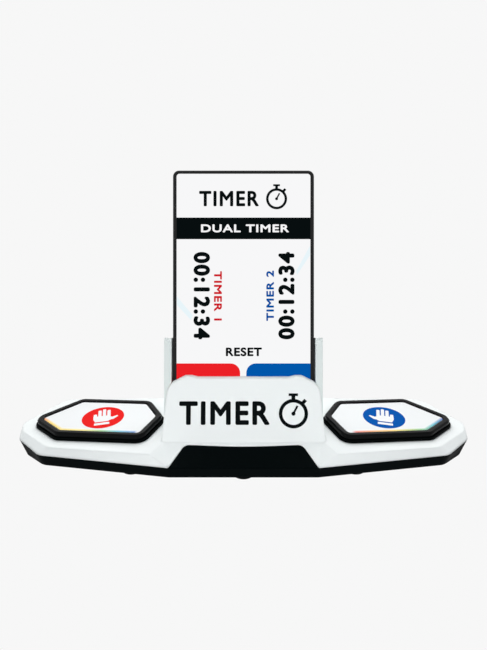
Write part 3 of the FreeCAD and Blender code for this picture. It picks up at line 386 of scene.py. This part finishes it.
shown("picture", [rectangle(-PICTURE_SIDE, PICTURE_LOW, PICTURE_SIDE, PICTURE_TOP,
                            (LOW_RADIUS, LOW_RADIUS, TOP_RADIUS, TOP_RADIUS))], PAPER, layer=1)
shown("picture_streaks", STREAKS, PALE)
shown("picture_band", [rectangle(-PICTURE_SIDE, BAND_LOW, PICTURE_SIDE, BAND_TOP)], DARK)
shown_words("picture_band_words", "DUAL TIMER", PAPER, BAND_WORDS_BOX, bold=0.2, spacing=1.1, layer=3)
for word, number, colour, turn, time_box, label_box in CLOCKS:
    shown_words("picture_time_" + word, "00:12:34", DARK, time_box, bold=0.56, spacing=1.2, turn=turn)
    shown_words("picture_label_" + word, "TIMER " + number, colour, label_box, bold=0.22, spacing=1.12,
                turn=turn)
shown_words("picture_reset", "RESET", DARK, RESET_BOX, bold=0.26, spacing=1.08)
shown("picture_button_left", [rectangle(-PICTURE_SIDE, PICTURE_LOW, LEFT_BUTTON_END, BUTTON_TOP,
                                        (LOW_RADIUS, 0, BUTTON_RADIUS, 0))], RED_LIT)
shown("picture_button_right", [rectangle(RIGHT_BUTTON_START, PICTURE_LOW, PICTURE_SIDE, BUTTON_TOP,
                                         (0, LOW_RADIUS, 0, BUTTON_RADIUS))], BLUE_LIT)
shown("picture_sign", stopwatch(SIGN_X, SIGN_Y, SIGN_RADIUS), DARK)
shown_words("picture_sign_words", "TIMER", DARK, TITLE_BOX, bold=0.34, spacing=1.16)


# Print on the tower, measured up its face from the middle of its foot

PRINT = ink("print_black", linear(12, 16, 17))
TOWER_WORDS_BOX = (-33.5, 8.6, 13.6, 20.8)
TOWER_SIGN_X, TOWER_SIGN_Y, TOWER_SIGN_RADIUS = 26.0, 14.4, 7.6

flat("tower_sign", stopwatch(TOWER_SIGN_X, TOWER_SIGN_Y, TOWER_SIGN_RADIUS), FACE, "body", PRINT)
writing("tower_words", "TIMER", FACE, "body", PRINT, TOWER_WORDS_BOX, bold=0.5, spacing=1.16, layer=1)


# Prints on the pads, measured from a pad's middle

RED = ink("print_red", linear(238, 36, 34))
BLUE = ink("print_blue", linear(0, 86, 172))
HAND = ink("print_white", linear(246, 246, 246))
DISC_RADIUS = 11.4
HAND_TURN = 18.0
PALM_TOP = 1.6
FINGER_HALF, FINGER_RADIUS = 0.9, 0.8
FINGERS = ((-4.2, 4.0), (-1.75, 8.0), (0.7, 8.9), (3.15, 7.6))
CUFF_RADIUS = 0.3

# Front edges of the insert's outline: its outer tip, the corner beside it and its inner corner

INSERT_FRONT = ((33.0, -3.5), (18.6, -14.2), (-24.0, -14.2))

# Colour strip: its near and far gap to the outline, its start as a share of the first edge, and its fade

STRIP_NEAR, STRIP_FAR = 0.05, 2.1
STRIP_START = 0.03
FADE_POWER = 1.7


def hand(side):
    """Faces of an open hand with its thumb towards the middle and a cuff below."""
    palm = [(-5.2, -1.4), (-4.2, -4.6), (2.6, -4.6), (4.1, -3.4), (4.1, PALM_TOP), (-5.2, PALM_TOP)]
    fingers = [
        rectangle(x - FINGER_HALF, PALM_TOP, x + FINGER_HALF, top, (0, 0, FINGER_RADIUS, FINGER_RADIUS))
        for x, top in FINGERS
    ]
    thumb = [(4.1, -3.4), (5.6, -3.1), (8.2, -0.4), (7.6, 0.6), (5.1, -0.5), (4.1, -0.1)]
    cuff = rectangle(-4.6, -7.9, 3.4, -5.7, [CUFF_RADIUS] * 4)
    faces = [palm, *fingers, thumb, cuff]
    return [turned([(-side * x, y) for x, y in face][::-side], -side * HAND_TURN) for face in faces]


def strip_surface(name, stops):
    """A surface whose colour runs through stops along a strip and fades into the insert across it."""
    material = surface(name, (1, 1, 1, 1), 0.4, bump=0.01)
    tree = material.node_tree
    along = add_node(tree, "ShaderNodeAttribute", attribute_name="along")
    across = add_node(tree, "ShaderNodeAttribute", attribute_name="across")
    ramp = add_node(tree, "ShaderNodeValToRGB")
    elements = ramp.color_ramp.elements
    elements[0].position, elements[0].color = stops[0]
    elements[1].position, elements[1].color = stops[-1]
    for position, colour in stops[1:-1]:
        elements.new(position).color = colour
    late = add_node(tree, "ShaderNodeMath", operation="POWER")
    late.inputs[1].default_value = FADE_POWER
    fade = add_node(tree, "ShaderNodeMix", {"B": PLAIN}, data_type="RGBA")
    tree.links.new(along.outputs["Fac"], ramp.inputs["Fac"])
    tree.links.new(ramp.outputs["Color"], fade.inputs["A"])
    tree.links.new(across.outputs["Fac"], late.inputs[0])
    tree.links.new(late.outputs["Value"], fade.inputs["Factor"])
    tree.links.new(fade.outputs["Result"], tree.nodes["Principled BSDF"].inputs["Base Color"])
    return material


def strip(name, side, body, material):
    """A narrow band just inside the front edges of an insert, from near its tip to its inner corner."""
    tip, corner, end = [Vector((side * x, y)) for x, y in INSERT_FRONT]
    outer = [tip.lerp(corner, STRIP_START), corner, end]
    runs = [after - before for before, after in zip(outer, outer[1:])]
    normals = [Vector((run.y, -run.x)).normalized() * side for run in runs]
    mitre = (normals[0] + normals[1]) / (1 + normals[0].dot(normals[1]))
    inward = (normals[0], mitre, normals[1])
    near, far = [
        [point + normal * gap for point, normal in zip(outer, inward)]
        for gap in (STRIP_NEAR, STRIP_FAR)
    ]
    faces = [[near[i], near[i + 1], far[i + 1], far[i]][::-side] for i in range(2)]
    item = flat(name, faces, pad_plane(side), body, material)
    middle = runs[0].length / (runs[0].length + runs[1].length)
    along = item.data.attributes.new("along", "FLOAT", "POINT")
    across = item.data.attributes.new("across", "FLOAT", "POINT")
    for i, (start, stop) in enumerate(((0.0, middle), (middle, 1.0))):
        marks = [(start, 0.0), (stop, 0.0), (stop, 1.0), (start, 1.0)][::-side]
        for j, (run, depth) in enumerate(marks):
            along.data[4 * i + j].value = run
            across.data[4 * i + j].value = depth


ORANGE, YELLOW, GREEN = linear(240, 130, 50), linear(250, 210, 60), linear(120, 190, 90)
CRIMSON, PALE_YELLOW = linear(228, 60, 50), linear(250, 228, 110)
CYAN, SKY, DEEP = linear(40, 180, 200), linear(30, 120, 200), linear(30, 70, 170)
LEFT_STRIP = strip_surface("strip_left", [
    (0.0, ORANGE), (0.11, YELLOW), (0.5, PALE_YELLOW), (0.66, GREEN), (0.8, CYAN), (0.96, SKY),
    (0.985, PLAIN),
])
RIGHT_STRIP = strip_surface("strip_right", [
    (0.0, DEEP), (0.17, CYAN), (0.36, GREEN), (0.58, YELLOW), (0.82, ORANGE), (0.93, CRIMSON),
    (0.965, PLAIN),
])
for side, word, colour, stops in ((-1, "left", RED, LEFT_STRIP), (1, "right", BLUE, RIGHT_STRIP)):
    plane = pad_plane(side)
    body = "pad_" + word
    flat("pad_disc_" + word, [disc(0, 0, DISC_RADIUS)], plane, body, colour)
    flat("pad_hand_" + word, hand(side), plane, body, HAND, layer=2)
    strip("pad_strip_" + word, side, body, stops)


# Front edge of the front feet, which shows below the housing, in millimetres

TIP_SPOTS = ((-57.6, -29.2), (0.0, -33.1), (57.6, -29.2))
TIP_RADIUS, TIP_HEIGHT, TIP_CHAMFER = 6.0, 1.45, 0.3
TIP_STEPS = 48


def foot_tips(name):
    """Upright closed discs with a chamfered lower edge."""
    points = []
    loops = []
    outline = ((TIP_RADIUS - TIP_CHAMFER, 0.0), (TIP_RADIUS, TIP_CHAMFER), (TIP_RADIUS, TIP_HEIGHT))
    for x, y in TIP_SPOTS:
        start = len(points)
        for radius, z in outline:
            points += [Vector((px, py, z)) * MM for px, py in disc(x, y, radius, TIP_STEPS)]
        for low in (start, start + TIP_STEPS):
            for i in range(TIP_STEPS):
                after = (i + 1) % TIP_STEPS
                loops.append([low + i, low + after, low + TIP_STEPS + after, low + TIP_STEPS + i])
        loops.append([start + i for i in reversed(range(TIP_STEPS))])
        loops.append([start + 2 * TIP_STEPS + i for i in range(TIP_STEPS)])
    item = placed(name, points, loops, RUBBER)
    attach(item, "body")


foot_tips("foot_tips")


# Studio, in metres

BACKGROUND = linear(247, 247, 247)
AMBIENT, AMBIENT_STRENGTH = (0.95, 0.98, 1.0, 1), 0.655
FLOOR_COLOUR = (0.65, 0.65, 0.65, 1)
FLOOR_HALF, FLOOR_LEVEL = 3, -0.0002


def show_background(tree, lighting, background, output):
    """Shows the background to the camera, in reflections and through clear parts.

    All other rays meet the lighting instead.
    """
    path = add_node(tree, "ShaderNodeLightPath")
    seen = path.outputs["Is Camera Ray"]
    for ray in ("Is Glossy Ray", "Is Transmission Ray"):
        either = add_node(tree, "ShaderNodeMath", operation="MAXIMUM")
        tree.links.new(seen, either.inputs[0])
        tree.links.new(path.outputs[ray], either.inputs[1])
        seen = either.outputs["Value"]
    mix = add_node(tree, "ShaderNodeMixShader")
    tree.links.new(seen, mix.inputs["Fac"])
    tree.links.new(lighting, mix.inputs[1])
    tree.links.new(background, mix.inputs[2])
    tree.links.new(mix.outputs["Shader"], tree.nodes[output].inputs["Surface"])


def studio_floor():
    """A wide floor just below the feet."""
    material, tree, shader = new_material("floor")
    set_inputs(shader, {"Base Color": FLOOR_COLOUR, "Roughness": 0.9})
    glow = add_node(tree, "ShaderNodeEmission", {"Color": BACKGROUND})
    show_background(tree, shader.outputs["BSDF"], glow.outputs["Emission"], "Material Output")
    corners = rectangle(-FLOOR_HALF, -FLOOR_HALF, FLOOR_HALF, FLOOR_HALF)
    item = placed("floor", [(x, y, FLOOR_LEVEL) for x, y in corners], [(0, 1, 2, 3)], material)


def studio_world():
    world = bpy.data.worlds.new("studio")
    bpy.context.scene.world = world
    world.use_nodes = True
    tree = world.node_tree
    seen = tree.nodes["Background"]
    set_inputs(seen, {"Color": BACKGROUND, "Strength": 1.0})
    around = add_node(tree, "ShaderNodeBackground", {"Color": AMBIENT, "Strength": AMBIENT_STRENGTH})
    show_background(tree, around.outputs["Background"], seen.outputs["Background"], "World Output")


def lamp(name, light, place, aim, power, mirrored):
    """A light aimed at a point; mirrored says whether glossy surfaces show it."""
    light.energy = power
    item = bpy.data.objects.new(name, light)
    item.location = place
    item.rotation_euler = (Vector(aim) - Vector(place)).to_track_quat("-Z", "Y").to_euler()
    item.visible_glossy = mirrored
    bpy.context.scene.collection.objects.link(item)


def softbox(name, place, aim, size, power, mirrored=True):
    light = bpy.data.lights.new(name, "AREA")
    light.shape = "RECTANGLE"
    light.size, light.size_y = size
    lamp(name, light, place, aim, power, mirrored)


def spotlight(name, place, aim, spread, radius, power):
    """A round light that fades out to its spread, an angle in radians."""
    light = bpy.data.lights.new(name, "SPOT")
    light.spot_size = spread
    light.spot_blend = 1.0
    light.shadow_soft_size = radius
    lamp(name, light, place, aim, power, mirrored=False)


studio_floor()
studio_world()
softbox("top", place=(0.0, 0.6, 0.7), aim=(0, 0, 0), size=(0.9, 0.5), power=4.8)
for word, side in (("left", -1), ("right", 1)):
    softbox(word, place=(side * 0.7, -0.1, 0.35), aim=(0, 0, 0.03), size=(0.4, 0.5), power=0.1)
softbox("front", place=(0.0, -0.6, 0.25), aim=(0, 0, 0.03), size=(0.3, 0.3), power=0.5, mirrored=False)
spotlight("tower", place=(0.0, -0.6, 0.25), aim=(0, -0.02, 0.042), spread=0.18, radius=0.08, power=10.0)


# Camera, which looks down at the object; its focal length in pixels goes with the photo's height

CAMERA_PLACE = (0, -0.2747, 0.174)
CAMERA_DOWN = 21
FOCAL_PIXELS = 560
PHOTO_HEIGHT_PIXELS = 650
SENSOR = 36.0
NEAREST = 0.01

camera = bpy.data.objects.new("camera", bpy.data.cameras.new("camera"))
bpy.context.scene.collection.objects.link(camera)
camera.location = CAMERA_PLACE
camera.rotation_euler = (math.radians(90 - CAMERA_DOWN), 0, 0)
camera.data.sensor_width = SENSOR
camera.data.lens = FOCAL_PIXELS * SENSOR / PHOTO_HEIGHT_PIXELS
camera.data.clip_start = NEAREST
bpy.context.scene.camera = camera
bpy.context.scene.view_settings.view_transform = "Standard"
